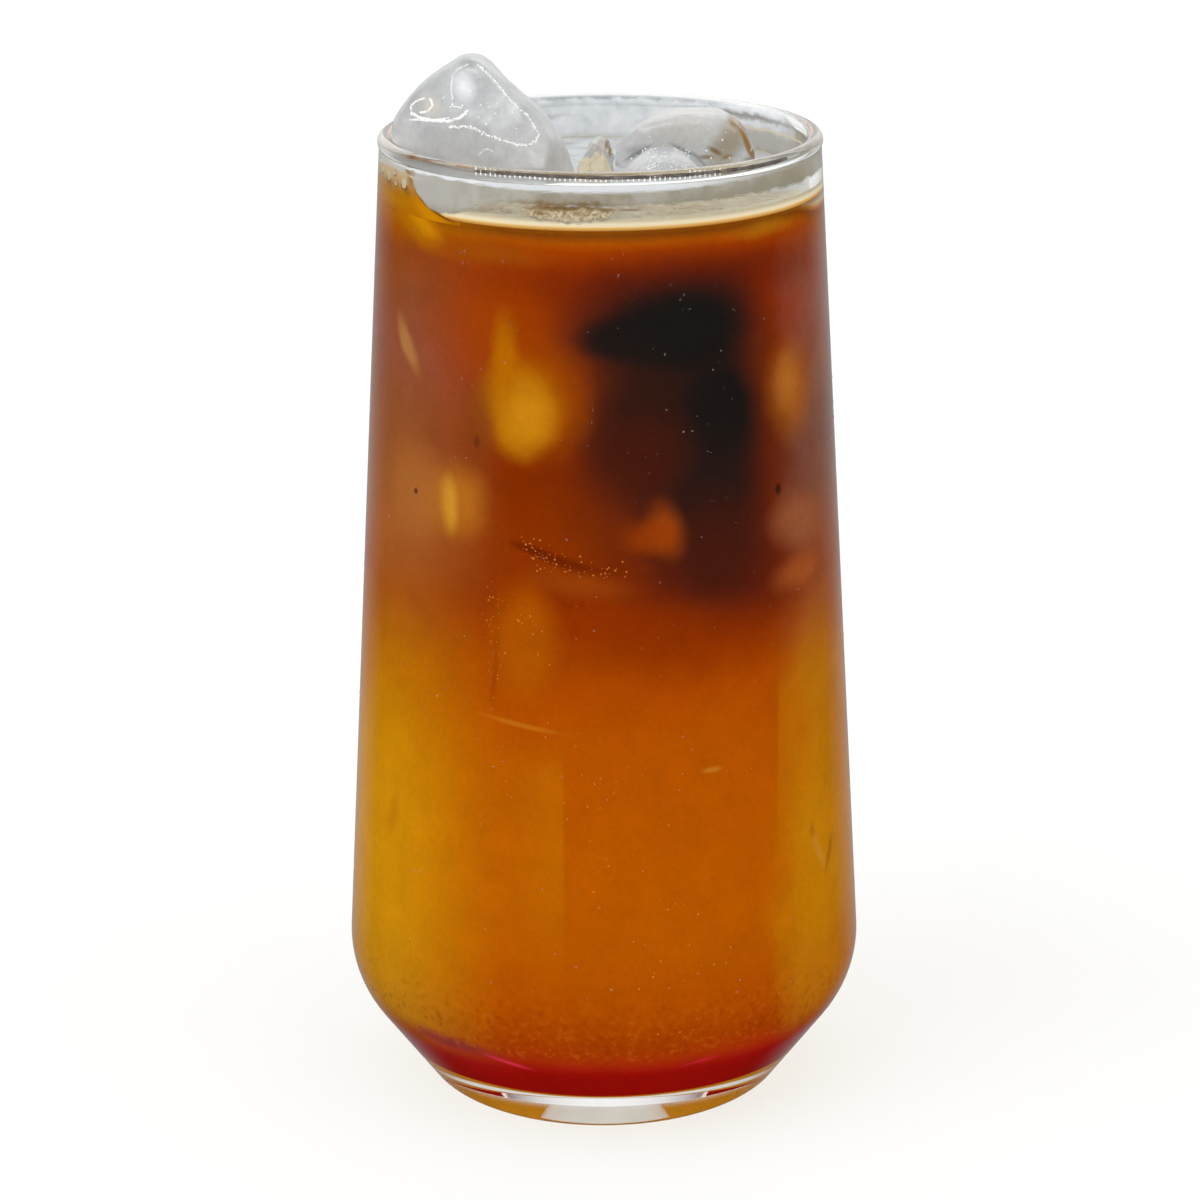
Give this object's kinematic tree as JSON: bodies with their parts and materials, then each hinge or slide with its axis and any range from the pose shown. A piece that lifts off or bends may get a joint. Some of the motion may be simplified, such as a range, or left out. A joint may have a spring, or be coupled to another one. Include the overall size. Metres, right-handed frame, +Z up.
{
  "type": "iced coffee in a tumbler",
  "caption": "Layered iced coffee with red syrup, orange juice, dark coffee, thin foam and floating ice in a tall clear tumbler with a tapered foot.",
  "frame": {"origin": "middle of the foot, on the table", "axes": "+Z up along the tumbler's axis; the large piece of ice stands at -X, and the pictured side faces -Y"},
  "size_m": [0.0784, 0.0784, 0.1588],
  "materials": {
    "clear_glass": "clear, smooth, lightly fogged near the rim",
    "red_syrup": "clear deep red liquid",
    "orange_juice": "cloudy amber orange liquid",
    "coffee": "dark red-brown liquid, blending into the juice",
    "coffee_foam": "matte tan foam with fine bubbles",
    "ice": "wet melting ice, clear with cloudy zones"
  },
  "bodies": {
    "root": {"glass": "clear_glass", "syrup": "red_syrup", "juice": "orange_juice", "coffee": "coffee", "foam": "coffee_foam", "ice_large": "ice", "ice_right": "ice", "ice_front": "ice", "ice_chip": "ice"}
  },
  "joints": []
}
